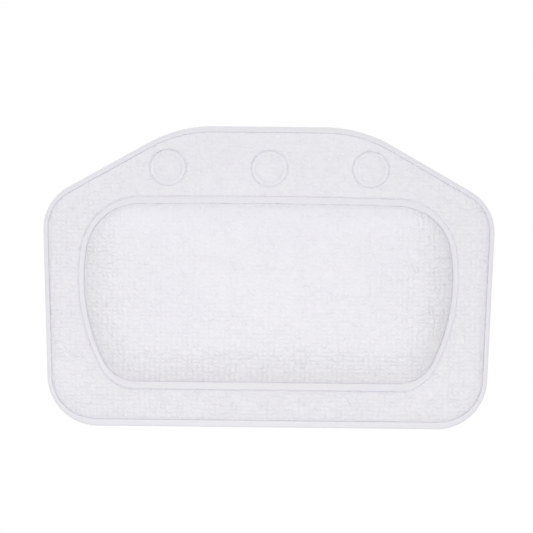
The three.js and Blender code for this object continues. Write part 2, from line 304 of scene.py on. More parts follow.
def survey(places):
    """Every distance and measure that the sheets need, for places in the plane of the wall."""
    from_edge, rim_outward = inside_line(places, fine_outline)
    in_pad, outward = inside_line(places, fine_crease)
    width = by_side(BAND_WIDTHS, outward)
    from_rings = np.min([np.hypot(places[:, 0] - x, places[:, 1]) for x in RING_CENTRES], axis=0)
    return {"edge": from_edge, "rim": by_side(RIM_WIDTHS, rim_outward), "pad": in_pad, "band": width,
            "crease": by_side(CREASE_DEPTHS, outward), "groove": by_side(GROOVE_DEPTHS, rim_outward),
            "puff": by_side(PUFF_WIDTHS, rim_outward), "shape": by_side(PUFF_SHAPES, rim_outward),
            "gather": by_side(SLOPE_PRINT_AND_SHADE, outward), "past_band": -in_pad - width, "ring": from_rings,
            "places": places}

print("points to measure from:", len(fine_outline[0]), "and", len(fine_crease[0]))

# %% [markdown]
# A net of triangles carries the sheet. A plain grid would cut across the creases and leave them ragged, so
# closed lines are laid along every weld first, close together where the surface turns fast, and a loose grid
# fills the rest. The triangulation then keeps every one of those lines as edges of the mesh.

# %% Net
RING_OUTER, RING_INNER, NECK_HOLE = 13.15 * MM, 10.25 * MM, 4.4 * MM
INSIDE_ONLY, SAME_POINT = 1, 1e-7

def offset(line, distance):
    """The points of a line, moved inwards by a distance, or by one distance for each point."""
    points, outward = line
    return points - outward * np.reshape(distance, (-1, 1))

def circle(centre_x, radius, spacing):
    """Evenly spaced points round a circle."""
    angles = np.linspace(0, 2 * math.pi, round(2 * math.pi * radius / spacing), endpoint=False)
    return np.column_stack([centre_x + radius * np.cos(angles), radius * np.sin(angles)])

def net(loops, spacing, keep=None, clear=0.62):
    """Triangles inside the first loop that keep all the loops as edges, with a staggered grid between them. Where
    keep is given, it says from the survey of the triangles' middles which of them stay."""
    joined = np.concatenate(loops)
    tree = kdtree.KDTree(len(joined))
    for i, (x, z) in enumerate(joined):
        tree.insert((x, z, 0), i)
    tree.balance()
    low, high = joined.min(axis=0), joined.max(axis=0)
    rows = np.arange(low[1], high[1], spacing * math.sqrt(3) / 2)
    grid = [(x + (spacing / 2 if row % 2 else 0), z)
            for row, z in enumerate(rows) for x in np.arange(low[0], high[0], spacing)]
    inside, _ = inside_line(np.array(grid), (loops[0], outward_of(loops[0])))
    free = [p for p, d in zip(grid, inside) if d > 0 and tree.find((*p, 0))[2] > clear * spacing]
    edges, start = [], 0
    for loop in loops:
        edges += [(start + i, start + (i + 1) % len(loop)) for i in range(len(loop))]
        start += len(loop)
    points = [Vector(p) for p in joined] + [Vector(p) for p in free]
    places, _, faces, *_ = delaunay_2d_cdt(points, edges, [], INSIDE_ONLY, SAME_POINT)
    places = np.array([tuple(p) for p in places])
    faces = np.array(list(faces))
    if keep is not None:
        faces = faces[keep(survey(places[faces].mean(axis=1)))]
    used, numbered = np.unique(faces, return_inverse=True)
    return places[used], numbered.reshape(-1, 3)

# %% Front net
def sheet_loops(outline, crease, steps, ring_spacing):
    """The lines of a sheet's net. On the rim and the band the steps are shares of their width, elsewhere mm."""
    rim, band = by_side(RIM_WIDTHS, outline[1]), by_side(BAND_WIDTHS, crease[1])
    loops = [offset(outline, rim * share) for share in steps["rim"]]
    loops += [offset(outline, rim + step * MM) for step in steps["border"]]
    loops += [offset(crease, -band * share) for share in steps["band"]]
    loops += [offset(crease, -band - step * MM) for step in steps["past_band"]]
    loops += [offset(crease, step * MM) for step in steps["pad"]]
    return loops + [circle(x, radius * MM, ring_spacing) for x in RING_CENTRES for radius in steps["ring"]]

FRONT_STEPS = {
    "rim": [0, 0.05, 0.15, 0.3, 0.55, 0.78, 0.89, 0.95, 1],
    "border": [0.3, 0.7, 1.4, 2.6],
    "band": [0.12, 0.3, 0.6, 0.86],
    "past_band": [-0.3, 0, 0.3, 0.7, 1.2, 1.8, 2.4, 4.4],
    "pad": [-0.3, 0, 0.25, 0.6, 1.1, 1.8, 2.7, 3.9, 5.4, 7.2, 9.4, 12, 15, 18.5, 22.5],
    "ring": [7.0, 8.6, 9.5, 9.95, 10.25, 10.6, 11.2, 11.8, 12.3, 12.8, 13.15, 13.5, 14.1, 15.1, 16.6]}
front_loops = sheet_loops(outline_line, crease_line, FRONT_STEPS, ring_spacing=1.3 * MM)
front_places, front_faces = net(front_loops, spacing=2.6 * MM)
print("front net:", len(front_places), "points,", len(front_faces), "triangles")

# %% [markdown]
# The section of the front sheet runs from the rim inwards: a raised bead, a crease, the puffed border, the smooth
# weld band, and the pad, which climbs in a quarter ellipse to a broad dome. Where a welding bar has pressed the
# sheet it leaves a narrow groove at each of its edges. It could be a curve swept round the pillow, but a formula
# takes each weld's own width. The heights are worked out in front of the weld plane.

# %% Curves of the section
CREASE_FOOT, LINE_FOOT, RING_FOOT, WELD_BEAD = 2.6 * MM, 2.7 * MM, 2.9 * MM, 3.1 * MM
BAND_FULLNESS = 5.0
ROLL_WIDTH, ROLL_RISE = 24 * MM, 11.5 * MM
DOME_RISE, DOME_HALF_WIDTH, DOME_SQUARENESS = 6.5 * MM, 139 * MM, 4

def rolled(share, fullness=2.0):
    """From 0 to 1 along a quarter of an oval: steep at first, then level."""
    return (1 - (1 - np.clip(share, 0, 1)) ** fullness) ** (1 / fullness)

def pad_roll(share, foot_share=0.1):
    """The same for the pad's roll, which starts a little up the oval, so that its foot isn't quite upright."""
    foot = rolled(foot_share)
    return (rolled(foot_share + (1 - foot_share) * np.clip(share, 0, 1)) - foot) / (1 - foot)

def groove(distance, depth, half_width=0.55 * MM):
    """Depth of the narrow line that the edge of a welding bar leaves."""
    return depth * np.exp(-(distance / half_width) ** 2)

def bead(share, fullness):
    """From 0 at both sides of a weld to 1 on its middle."""
    return rolled(1 - np.abs(2 * np.clip(share, 0, 1) - 1), fullness)

def weld_bead(share, inner_foot):
    """Height across a weld, from its faint outer line to the line at its inner side."""
    share = np.clip(share, 0, 1)
    foot = LINE_FOOT + (inner_foot - LINE_FOOT) * share
    return foot + (WELD_BEAD - foot) * bead(share, BAND_FULLNESS)

def domed(places):
    """From 1 in the broad middle of the pad to 0 at its crease."""
    across = np.clip(1 - (places[:, 0] / DOME_HALF_WIDTH) ** DOME_SQUARENESS, 0, 1)
    return across * np.clip(1 - ((places[:, 1] - PAD_MIDDLE_Z) / PAD_HALF_HEIGHT) ** DOME_SQUARENESS, 0, 1)

def pad_height(depth, places, slack=0.0):
    """Height of the pad at a depth inside its crease, or of a form that lies under it by an even slack."""
    roll = ROLL_RISE * pad_roll((depth - slack) / (ROLL_WIDTH - slack))
    return CREASE_FOOT - slack + roll + DOME_RISE * domed(places)

highest = pad_height(PAD_HALF_HEIGHT, np.array([[0, PAD_MIDDLE_Z]]))[0]
print("top of the pad in mm before the weld plane:", round(highest / MM, 2))

# %% Section of the front
SHEET, PRESSED = 1.5 * MM, 1.1 * MM
RIM_EDGE, RIM_BEAD, RIM_FULLNESS = 1.0 * MM, 1.75 * MM, 3.5
RING_CLIMB, RING_GROOVE = 3, 0.28 * MM
BORDER_LEVEL, BORDER_FOOT_WIDTH = 4.3 * MM, 4 * MM
RISE_WIDTH, RISE_SHAPE = 2.2 * MM, 1.7
CELL_LEVEL, CELL_RISE_WIDTH, CELL_SHAPE = 4.4 * MM, 6 * MM, 1.4

def front_height(s):
    """Height of the front sheet's outside."""
    edge, ring, past_rim = s["edge"], s["ring"], s["edge"] - s["rim"]
    rise = rolled(s["past_band"] / RISE_WIDTH, RISE_SHAPE) * rolled((ring - RING_OUTER) / RISE_WIDTH, RISE_SHAPE)
    foot = PRESSED + (LINE_FOOT - PRESSED) * np.clip(past_rim / BORDER_FOOT_WIDTH, 0, 1)
    height = foot + (BORDER_LEVEL - foot) * rise * rolled(past_rim / s["puff"], s["shape"])
    rim_bead = RIM_EDGE + (RIM_BEAD - RIM_EDGE) * bead(edge / s["rim"], RIM_FULLNESS)
    height = np.where(edge < s["rim"], rim_bead, height)
    on_ring = np.clip((RING_OUTER - ring) / (RING_OUTER - RING_INNER), 0, 1)
    ring_bead = LINE_FOOT + (WELD_BEAD - LINE_FOOT) * rolled(on_ring * RING_CLIMB)
    height = np.where(ring < RING_OUTER, ring_bead + (RING_FOOT - WELD_BEAD) * on_ring ** 2, height)
    cell = RING_FOOT + (CELL_LEVEL - RING_FOOT) * rolled((RING_INNER - ring) / CELL_RISE_WIDTH, CELL_SHAPE)
    height = np.where(ring < RING_INNER, cell, height)
    height = np.where(s["past_band"] < 0, weld_bead(-s["past_band"] / s["band"], CREASE_FOOT), height)
    height = np.where(s["pad"] > 0, pad_height(s["pad"], s["places"]), height)
    height -= groove(past_rim, s["groove"]) + groove(s["pad"], s["crease"])
    return height - groove(ring - RING_OUTER, RING_GROOVE)

front_survey = survey(front_places)
front_heights = front_height(front_survey)
print("front height in mm:", round(front_heights.min() / MM, 2), "to", round(front_heights.max() / MM, 2))

def welded(s, margin=0.2 * MM, crease_margin=0.3 * MM):
    """1 where the sheet is welded flat, and 0 where it is free to puff."""
    ring_weld = (s["ring"] < RING_OUTER + margin) & (s["ring"] > RING_INNER - margin)
    band_weld = (s["past_band"] < margin) & (s["pad"] < crease_margin)
    return ((s["edge"] < s["rim"] + margin) | ring_weld | band_weld).astype(float)

# %% [markdown]
# On the real pillow the foam pushes the free sheet out between its welds, and the sheet puckers a little where it
# has cloth to spare. That could be sculpted by hand. Blender's Cloth does it evenly: the welds are pinned, and a
# pressure from behind fills the rest. Only a share of the movement is kept, within limits, so that the sheet
# stays in front of its foam.

# %% Sheet to mesh
def mesh_piece(name, points, faces, sharp_above=None):
    """A mesh object. Where an angle in degrees is given, it is shaded smooth but for edges sharper than that."""
    data = bpy.data.meshes.new(name)
    data.from_pydata(points, [], faces)
    if sharp_above is not None:
        data.polygons.foreach_set("use_smooth", np.ones(len(data.polygons), dtype=bool))
        data.set_sharp_from_angle(angle=math.radians(sharp_above))
    data.update()
    made = bpy.data.objects.new(name, data)
    bpy.context.collection.objects.link(made)
    return made

def normals_of(points, faces):
    """Unit normals at the points of a mesh."""
    corners = points[faces]
    across = np.cross(corners[:, 1] - corners[:, 0], corners[:, 2] - corners[:, 0])
    total = np.zeros_like(points)
    for corner in range(3):
        np.add.at(total, faces[:, corner], across)
    return total / np.linalg.norm(total, axis=1)[:, None]

def edges_of(faces):
    """The three edges of every triangle, each in the direction that its face runs."""
    return np.vstack([faces[:, [0, 1]], faces[:, [1, 2]], faces[:, [2, 0]]])

WELD_Y = -13.5 * MM

def raised(places, heights):
    """Points in space for places on the weld plane and their heights in front of it."""
    return np.column_stack([places[:, 0], WELD_Y - heights, places[:, 1]])

start = raised(front_places, front_heights)
print("sheet's box in mm:", np.round(np.ptp(start, axis=0) / MM, 1).tolist())

# %% Cloth
MOST_OUT, MOST_IN, SHARE_KEPT = 1.2 * MM, 0.2 * MM, 0.25
CLOTH_SETTINGS = {
    "quality": 6, "mass": 0.0004, "tension_stiffness": 15, "compression_stiffness": 15, "shear_stiffness": 5,
    "bending_stiffness": 0.5, "vertex_group_mass": "welds", "use_pressure": True, "shrink_min": -0.01}

def swollen(points, faces, free, pressure, frames=20):
    """The points of a sheet after air has pushed it out from behind, held where free is 0."""
    piece = mesh_piece("sheet being filled", points.tolist(), faces.tolist())
    pins = piece.vertex_groups.new(name="welds")
    for i in np.nonzero(free < 0.5)[0].tolist():
        pins.add([i], 1.0, "REPLACE")
    cloth = piece.modifiers.new("filling", "CLOTH")
    for key, value in CLOTH_SETTINGS.items():
        setattr(cloth.settings, key, value)
    cloth.settings.uniform_pressure_force = pressure
    cloth.settings.effector_weights.gravity = 0
    cloth.collision_settings.use_collision = False
    scene = bpy.context.scene
    for frame_number in range(1, frames + 1):
        scene.frame_set(frame_number)
    seen = piece.evaluated_get(bpy.context.evaluated_depsgraph_get())
    moved = np.empty(len(points) * 3)
    seen.data.vertices.foreach_get("co", moved)
    bpy.data.objects.remove(piece)
    scene.frame_set(1)
    return moved.reshape(-1, 3)

def eased(values, faces, free, rounds):
    """Values on a mesh, each evened out with its neighbours' where free is 1."""
    edges = np.unique(np.sort(edges_of(faces), axis=1), axis=0)
    ends = np.concatenate([edges, edges[:, ::-1]])
    count = np.bincount(ends[:, 0], minlength=len(values))[:, None]
    for _ in range(rounds):
        total = np.column_stack([np.bincount(ends[:, 0], values[ends[:, 1], i], len(values)) for i in range(3)])
        values = values + 0.5 * (total / count - values) * free[:, None]
    return values

front_free = 1 - welded(front_survey)
filled = swollen(start, front_faces, front_free, pressure=1.0)
move = SHARE_KEPT * eased(filled - start, front_faces, front_free, rounds=3)
outward = normals_of(start, front_faces)
out = (move * outward).sum(axis=1)
move += outward * (np.clip(out, -MOST_IN, MOST_OUT) - out)[:, None]
front_points = start + move
print("front moved by up to", round(np.abs(front_points - start).max() / MM, 2), "mm")

# %% [markdown]
# A sheet that is seen from both sides and cut at an edge needs its thickness. The inside follows the outside at
# the sheet's thickness, and lies flat on the weld plane where the two sheets are pressed together. Blender's
# Solidify could do it, but it folds over itself in a tight crease. Each point also stores what the finish has to
# know: whether it is on a weld or the rim, just inside the pad's crease, where shade is painted on, or on a
# slope, where the print is deeper and its painted shade and highlight are stronger.

# %% Closed sheets
RING_PRINTED, CREASE_SHADE_WIDTH = 1.5 * MM, 3 * MM
SLOPE_GAIN, BORDER_PRINT_AND_SHADE = 4, 0.45

def rims_of(faces):
    """The open edges of a mesh, each in the direction that its face runs."""
    edges = edges_of(faces)
    lone = np.sort(edges, axis=1)
    _, first, count = np.unique(lone, axis=0, return_index=True, return_counts=True)
    return edges[first[count == 1]]

def closed_sheet(name, outside, inside, faces):
    """A solid between two sheets of the same net, joined round their open edges."""
    count = len(outside)
    walls = [(b, a, a + count, b + count) for a, b in rims_of(faces).tolist()]
    backs = (faces[:, ::-1] + count).tolist()
    return mesh_piece(name, np.vstack([outside, inside]).tolist(), faces.tolist() + backs + walls, sharp_above=55)

def lined(outside, faces, weld, front=True):
    """The inside of a sheet: a sheet's thickness in, and never past the weld plane."""
    way = -1 if front else 1
    inner = outside - normals_of(outside, faces) * SHEET * (1 - weld)[:, None]
    inner[:, 1] = WELD_Y + way * np.maximum(0, (inner[:, 1] - WELD_Y) * way)
    inner[weld > 0.5, 1] = WELD_Y
    return inner

def mask(piece, **masks):
    """Stores numbers at the points of a piece, under their names, for its material to read."""
    for name, values in masks.items():
        layer = piece.data.attributes.new(name, "FLOAT", "POINT")
        repeats = len(piece.data.vertices) // len(values)
        layer.data.foreach_set("value", np.tile(values, repeats).astype(np.float32))

def soft_weld(s):
    """From 0 on free sheet to 1 on a weld, with a narrow soft edge. A round weld's outer line keeps its print."""
    def inside_of(distance, softness=2 * MM):
        return np.clip(0.5 - distance / softness, 0, 1)
    rim_part = inside_of(s["edge"] - s["rim"])
    ring_part = np.minimum(inside_of(s["ring"] - RING_OUTER + RING_PRINTED), inside_of(RING_INNER - s["ring"]))
    band_part = np.minimum(inside_of(s["past_band"]), inside_of(s["pad"]))
    return np.max([rim_part, ring_part, band_part], axis=0)

def on_rim(s):
    """1 on the rim's weld, down to 0 over its inner quarter."""
    return np.clip(4 - 4 * s["edge"] / s["rim"], 0, 1)

# %% Front skin
front_inside = lined(front_points, front_faces, welded(front_survey))
front_skin = closed_sheet("front_cover_skin", front_points, front_inside, front_faces)
tilt = np.sqrt(1 - normals_of(front_points, front_faces)[:, 1] ** 2)
# Steep pad slopes at the sides and bottom, and the border, get a deeper print and stronger painted shade in its hollows
# and a painted highlight on its tops.
steepness = np.where(front_survey["pad"] > 0, np.clip(SLOPE_GAIN * tilt, 0, 1), BORDER_PRINT_AND_SHADE)
# The 3 mm just inside the pad's crease is marked for painted shade.
mask(front_skin, weld=soft_weld(front_survey), rim=on_rim(front_survey),
     thin=np.clip(1 - front_survey["pad"] / CREASE_SHADE_WIDTH, 0, 1), gathered=front_survey["gather"] * steepness * front_free)
print("front skin:", len(front_skin.data.vertices), "points")

# %% [markdown]
# The back sheet has the same welds and bulges only a little behind the pad. A neck of each cup comes through
# a round hole in it. It could be a plain flat sheet, since it is seldom seen, but the welds show on it too. So it
# is made in the same way as the front, from a coarser net.

# %% Back net
COARSE_SPACING = 2.6 * MM
BACK_STEPS = {
    "rim": [0, 0.07, 0.2, 0.5, 0.85, 0.95, 1], "border": [0.3, 1.0, 2.4], "band": [0.15, 0.5, 0.85],
    "past_band": [-0.3, 0, 0.4, 1.2, 3.0], "pad": [-0.3, 0, 0.4, 1.2, 2.6, 4.6, 7.5, 11.5, 16.5, 22],
    "ring": [4.4, 4.8, 6.5, 9.2, 9.9, 10.25, 10.7, 11.9, 13.0, 13.5, 14.0, 15.2]}
coarse_outline, coarse_crease = rounded(OUTLINE_CORNERS, COARSE_SPACING), rounded(CREASE_CORNERS, COARSE_SPACING)
back_loops = sheet_loops(coarse_outline, coarse_crease, BACK_STEPS, ring_spacing=1.5 * MM)
back_places, back_faces = net(back_loops, spacing=3.6 * MM, keep=lambda middles: middles["ring"] > NECK_HOLE)
back_survey = survey(back_places)
print("back net:", len(back_places), "points,", len(back_faces), "triangles")

# %% Back skin
BACK_BULGE, BACK_CROWN, BACK_PUFF, BACK_GROOVE = 4 * MM, 0.9 * MM, 0.7 * MM, 0.3 * MM
BACK_PUFF_WIDTH, BACK_RISE_WIDTH, BACK_CELL_WIDTH = 8 * MM, 6 * MM, 1.2 * MM
BACK_EDGE_SHARE, EDGE_CLIMB = 0.75, 4

def back_depth(s):
    """How far the back sheet's outside is behind the weld plane."""
    edge, ring = s["edge"], s["ring"]
    puff = rolled((edge - s["rim"]) / BACK_PUFF_WIDTH) * rolled(s["past_band"] / BACK_RISE_WIDTH)
    puff *= rolled((ring - RING_OUTER) / BACK_RISE_WIDTH)
    depth = PRESSED + (SHEET - PRESSED + BACK_PUFF) * puff
    in_rim = np.clip(edge / s["rim"], 0, 1)
    rounding = rolled(np.minimum(in_rim, 1 - in_rim) * EDGE_CLIMB)
    depth = np.where(edge < s["rim"], PRESSED * (BACK_EDGE_SHARE + (1 - BACK_EDGE_SHARE) * rounding), depth)
    depth = np.where(ring < RING_OUTER, PRESSED, depth)
    cell = PRESSED + (SHEET - PRESSED) * rolled((RING_INNER - ring) / BACK_CELL_WIDTH)
    depth = np.where(ring < RING_INNER, cell, depth)
    depth = np.where(s["past_band"] < 0, PRESSED, depth)
    pad = PRESSED + (SHEET + BACK_BULGE - PRESSED) * rolled(s["pad"] / ROLL_WIDTH) + BACK_CROWN * domed(s["places"])
    depth = np.where(s["pad"] > 0, pad, depth)
    for distance in (edge - s["rim"], s["past_band"], s["pad"], ring - RING_OUTER, ring - RING_INNER):
        depth -= groove(distance, BACK_GROOVE)
    return depth

back_outside = raised(back_places, -back_depth(back_survey))
back_inside = lined(back_outside, back_faces[:, ::-1], welded(back_survey), front=False)
back_skin = closed_sheet("back_cover_skin", back_outside, back_inside, back_faces[:, ::-1])
mask(back_skin, weld=soft_weld(back_survey), rim=on_rim(back_survey))
print("back skin:", len(back_skin.data.vertices), "points")

# %% [markdown]
# Two pieces of foam fill the pillow. The thick block behind the head is a lens, rounded like the sheet over it.
# The border has a thin layer, cut out round the pad and the round welds. Neither shows, so they could be plain
# slabs, but with their real form they keep clear of the sheets.

# %% Pad foam
SLACK, FOAM_SPACING, FOAM_FOOT = 1.8 * MM, 5 * MM, 0.3 * MM
BLOCK_STEPS = [0, 0.3, 1, 2.2, 4, 6.5, 10, 14.5, 20]
block_loops = [offset(coarse_crease, SLACK + step * MM) for step in BLOCK_STEPS]
block_places, block_faces = net(block_loops, FOAM_SPACING)
block_survey = survey(block_places)
block_share = pad_roll((block_survey["pad"] - SLACK) / (ROLL_WIDTH - SLACK))
block_top = pad_height(block_survey["pad"], block_places, SLACK)
block_back = -(BACK_BULGE - FOAM_FOOT) * block_share - BACK_CROWN * domed(block_places)
pad_block = closed_sheet(
    "pad_foam_block", raised(block_places, block_top), raised(block_places, block_back), block_faces)
print("pad foam:", len(pad_block.data.vertices), "points")

# %% Border foam
FOAM_TOP, FOAM_LEAST = 2.3 * MM, 0.8 * MM
EDGE_STEPS, BAND_STEPS, RING_STEPS = [9.2, 9.6, 10.6], [3.0, 2.2, 1.8], [15.3, 15.8, 16.8]
coarse_band = by_side(BAND_WIDTHS, coarse_crease[1])
layer_loops = [offset(coarse_outline, step * MM) for step in EDGE_STEPS]
layer_loops += [offset(coarse_crease, -coarse_band - step * MM) for step in BAND_STEPS]
layer_loops += [circle(x, radius * MM, spacing=1.8 * MM) for x in RING_CENTRES for radius in RING_STEPS]

def in_border(middles):
    """Where the border's foam is: a little inside the rim, and clear of the other welds."""
    clear_of_welds = (middles["past_band"] > min(BAND_STEPS) * MM) & (middles["ring"] > min(RING_STEPS) * MM)
    return clear_of_welds & (middles["edge"] > min(EDGE_STEPS) * MM)

layer_places, layer_faces = net(layer_loops, FOAM_SPACING, keep=in_border)
layer_top = np.clip(front_height(survey(layer_places)) - SLACK, FOAM_FOOT + FOAM_LEAST, FOAM_TOP)
layer = closed_sheet("border_foam_layer", raised(layer_places, layer_top),
                     raised(layer_places, np.full(len(layer_places), FOAM_FOOT)), layer_faces)
print("border foam:", len(layer.data.vertices), "points")

# %% [markdown]
# Each suction cup is soft clear vinyl. It is round about its own axis, so a section turned round it gives the
# head, neck, bell and lip. Only the lip isn't round: it reaches down in a tongue that a finger lifts. So the
# section is drawn out there, instead of a second piece being stuck on, and the clear vinyl stays one solid.

# %% Cup section
CUP_RIM, CUP_SHOULDER = 20 * MM, 6.5 * MM
LIP_WIDTH, LIP_THICKNESS, HOLLOW_DEPTH, CROWN_WALL = 3 * MM, 1.3 * MM, 7 * MM, 1.8 * MM
BELL_STEPS, BELL_STEP_RISE, BELL_STEP_WIDTH = (9.5 * MM, 15.5 * MM), 0.3 * MM, 0.5 * MM
BELL_FROM, BELL_POINTS, HOLLOW_POINTS = 6.9 * MM, 26, 16
HEAD_SECTION = [  # radius and distance from the wall in mm, from the head's middle down to the bell's shoulder
    (0, 16.1), (2.5, 16.06), (5, 15.95), (7.1, 15.8), (7.55, 15.68), (7.87, 15.35), (8, 14.9), (8, 14.1),
    (7.92, 13.88), (7.7, 13.8), (4.6, 13.8), (4.18, 13.7), (4, 13.4), (4, 12.1), (4.15, 11.8), (4.5, 11.7),
    (6.1, 11.7), (6.4, 11.6), (6.5, 11.3), (6.5, 9.2)]
LIP_SECTION = [(19.8, 1.2), (19.97, 1.0), (20, 0.65), (19.95, 0.3), (19.75, 0.06), (19.4, 0), (18.2, 0), (17.1, 0)]

def bell_depth(radius):
    """Distance from the wall to the bell's outside, with a small step round it at each of two radii."""
    climb = (CUP_RIM - radius) / (CUP_RIM - CUP_SHOULDER)
    depth = LIP_THICKNESS + (HOLLOW_DEPTH + CROWN_WALL - LIP_THICKNESS) * (1 - np.cos(math.pi * climb)) / 2
    return depth + sum(BELL_STEP_RISE * math.exp(-((radius - at) / BELL_STEP_WIDTH) ** 2) for at in BELL_STEPS)

def cup_section():
    """Radius and distance from the wall along a cup's section, from the head's middle round to the hollow's."""
    head, lip = np.array(HEAD_SECTION) * MM, np.array(LIP_SECTION) * MM
    bell_radii = np.linspace(BELL_FROM, CUP_RIM - 0.5 * MM, BELL_POINTS)
    bell = [(radius, bell_depth(radius)) for radius in bell_radii]
    edge = CUP_RIM - LIP_WIDTH
    hollow_radii = np.linspace(edge - 0.4 * MM, 0, HOLLOW_POINTS)
    hollow = [(radius, HOLLOW_DEPTH * (1 - (radius / edge) ** 2)) for radius in hollow_radii]
    return np.vstack([head, bell, lip, hollow])

print("points in the cup's section:", len(cup_section()))

# %% Suction cups
TONGUE_REACH, TONGUE_HALF, TONGUE_THICKNESS, TONGUE_LIFT = 25.5 * MM, 4 * MM, 1 * MM, 0.2 * MM
RIB_PITCH, RIB_SIZE, FIRST_RIB, RIBS_FROM, RIBS_TO = 1.2 * MM, 0.22 * MM, 21.6 * MM, 21 * MM, 24.3 * MM
RIBBED_ABOVE, TONGUE_ROOT, ROOT_SOFTNESS = 0.9 * MM, 1.5 * MM, 0.35 * MM
TURN_STEPS, DOWN, TONGUE_SWEEP, TONGUE_STEP, NO_SHARED_ANGLE = 96, 1.5 * math.pi, 19, 1.25, 1e-4

def rim_reach(angle):
    """Distance from the axis to the lip's edge, which grows to the tongue's end straight below."""
    aside = np.abs(np.mod(angle + math.pi / 2 + math.pi, 2 * math.pi) - math.pi)
    end = TONGUE_REACH - TONGUE_HALF
    across = end * np.sin(aside)
    round_end = end * np.cos(aside) + np.sqrt(np.clip(TONGUE_HALF ** 2 - across ** 2, 0, None))
    side = TONGUE_HALF / np.maximum(np.sin(aside), 1e-6)
    tongue = np.where(aside < math.pi / 4, np.minimum(round_end, side), 0)
    both = np.logaddexp(tongue / ROOT_SOFTNESS, CUP_RIM / ROOT_SOFTNESS) * ROOT_SOFTNESS
    return np.minimum(both - ROOT_SOFTNESS * math.log(2) * (tongue < CUP_RIM), TONGUE_REACH)

def cup_piece(name, centre_x):
    """One suction cup, turned from its section, with the tongue drawn out of its lip."""
    section = cup_section()
    below = DOWN + np.radians(np.arange(-TONGUE_SWEEP, TONGUE_SWEEP, TONGUE_STEP)) + NO_SHARED_ANGLE
    sweep = np.sort(np.concatenate([np.linspace(0, 2 * math.pi, TURN_STEPS, endpoint=False), below]))
    reach = rim_reach(sweep)
    radius, depth = section[1:-1, 0], section[1:-1, 1]
    share = np.clip((radius - (CUP_RIM - LIP_WIDTH)) / LIP_WIDTH, 0, 1)
    drawn = radius[None] + share[None] * (reach - CUP_RIM)[:, None]
    out = np.clip((reach - CUP_RIM) / TONGUE_ROOT, 0, 1)[:, None] * share[None]
    flat = TONGUE_LIFT + np.clip(depth[None] / LIP_THICKNESS, 0, 1) * TONGUE_THICKNESS
    off_rib = np.mod(drawn - FIRST_RIB + RIB_PITCH / 2, RIB_PITCH) - RIB_PITCH / 2
    on_ribs = (drawn > RIBS_FROM) & (drawn < RIBS_TO) & (depth[None] > RIBBED_ABOVE)
    ribs = RIB_SIZE * np.exp(-(off_rib / RIB_SIZE) ** 2) * on_ribs
    deep = depth[None] * (1 - out) + (flat + ribs) * out
    turned = np.stack([drawn * np.cos(sweep)[:, None] + centre_x, -deep, drawn * np.sin(sweep)[:, None]], axis=2)
    rings, steps = turned.shape[:2]
    points = turned.reshape(-1, 3).tolist()
    points += [(centre_x, -section[0, 1], 0), (centre_x, -section[-1, 1], 0)]
    faces = []
    for i in range(rings):
        here, there = i * steps, ((i + 1) % rings) * steps
        faces += [(here + k, here + k + 1, there + k + 1, there + k) for k in range(steps - 1)]
        faces.append((len(points) - 2, here, there))
        faces.append((len(points) - 1, there + steps - 1, here + steps - 1))
    return mesh_piece(name, points, faces, sharp_above=50)

cup_pieces = {side: cup_piece(f"clear_cup_{side}", x) for side, x in zip(("left", "centre", "right"), RING_CENTRES)}
print("cup points:", len(cup_pieces["centre"].data.vertices))

# %% [markdown]
# Foamed vinyl is cast on embossed paper, which leaves a pebbled print a few millimetres across. The pebbles lie
# roughly in rows, as on a coarse cloth, and no two are quite alike. An image could give this, but cells and waves
# in the plane of the sheet need no unwrapping. A shader node group holds it, so that the front and the back can
# print it at different depths. The print is pressed out again where the sheet is welded.

# %% Group: pebbled print
def new_group(name, inputs, outputs):
    """A shader node group with named inputs, each with its usual value, and named outputs."""
    made = bpy.data.node_groups.new(name, "ShaderNodeTree")
    for label, usual in inputs.items():
        kind = "NodeSocketVector" if usual is None else "NodeSocketFloat"
        socket = made.interface.new_socket(label, in_out="INPUT", socket_type=kind)
        if usual is not None:
            socket.default_value = usual
    for label in outputs:
        made.interface.new_socket(label, in_out="OUTPUT", socket_type="NodeSocketFloat")
    return made, made.nodes.new("NodeGroupInput").outputs, made.nodes.new("NodeGroupOutput").inputs

DRIFT, ROW_ROUNDNESS, PRESSED_OUT = 0.004, 0.8, 0.88
grain, given, result = new_group("pebbled print", {
    "Place": None, "Pebble Size": 0.0034, "Row Width": 0.0039, "Row Height": 0.0031, "Flattened": 0.0},
    ["Height", "Relief For Painted Light"])
drift = add(grain, "ShaderNodeTexNoise", Vector=given["Place"], Scale=150.0, Detail=1.0)
centred = sums(grain, "SUBTRACT", drift.outputs["Color"], (0.5, 0.5, 0.5), kind="ShaderNodeVectorMath")
moved = sums(grain, "MULTIPLY_ADD", centred, (DRIFT, DRIFT, DRIFT), given["Place"], kind="ShaderNodeVectorMath")
pebbles = add(grain, "ShaderNodeTexVoronoi", feature="SMOOTH_F1", Vector=moved, Smoothness=0.35, Randomness=0.8,
              Scale=sums(grain, "DIVIDE", 1.0, given["Pebble Size"]))
pebble = ranged(grain, pebbles.outputs["Distance"], 1.0, 0.0, From_Max=0.8, interpolation_type="SMOOTHSTEP")
axes = add(grain, "ShaderNodeSeparateXYZ", Vector=moved).outputs

def row_wave(along, size):
    """Rounded ribs of one size along an axis, from 0 between them to 1 on each."""
    turns = times(grain, sums(grain, "DIVIDE", along, size), math.pi)
    return sums(grain, "POWER", sums(grain, "ABSOLUTE", sums(grain, "SINE", turns)), ROW_ROUNDNESS)

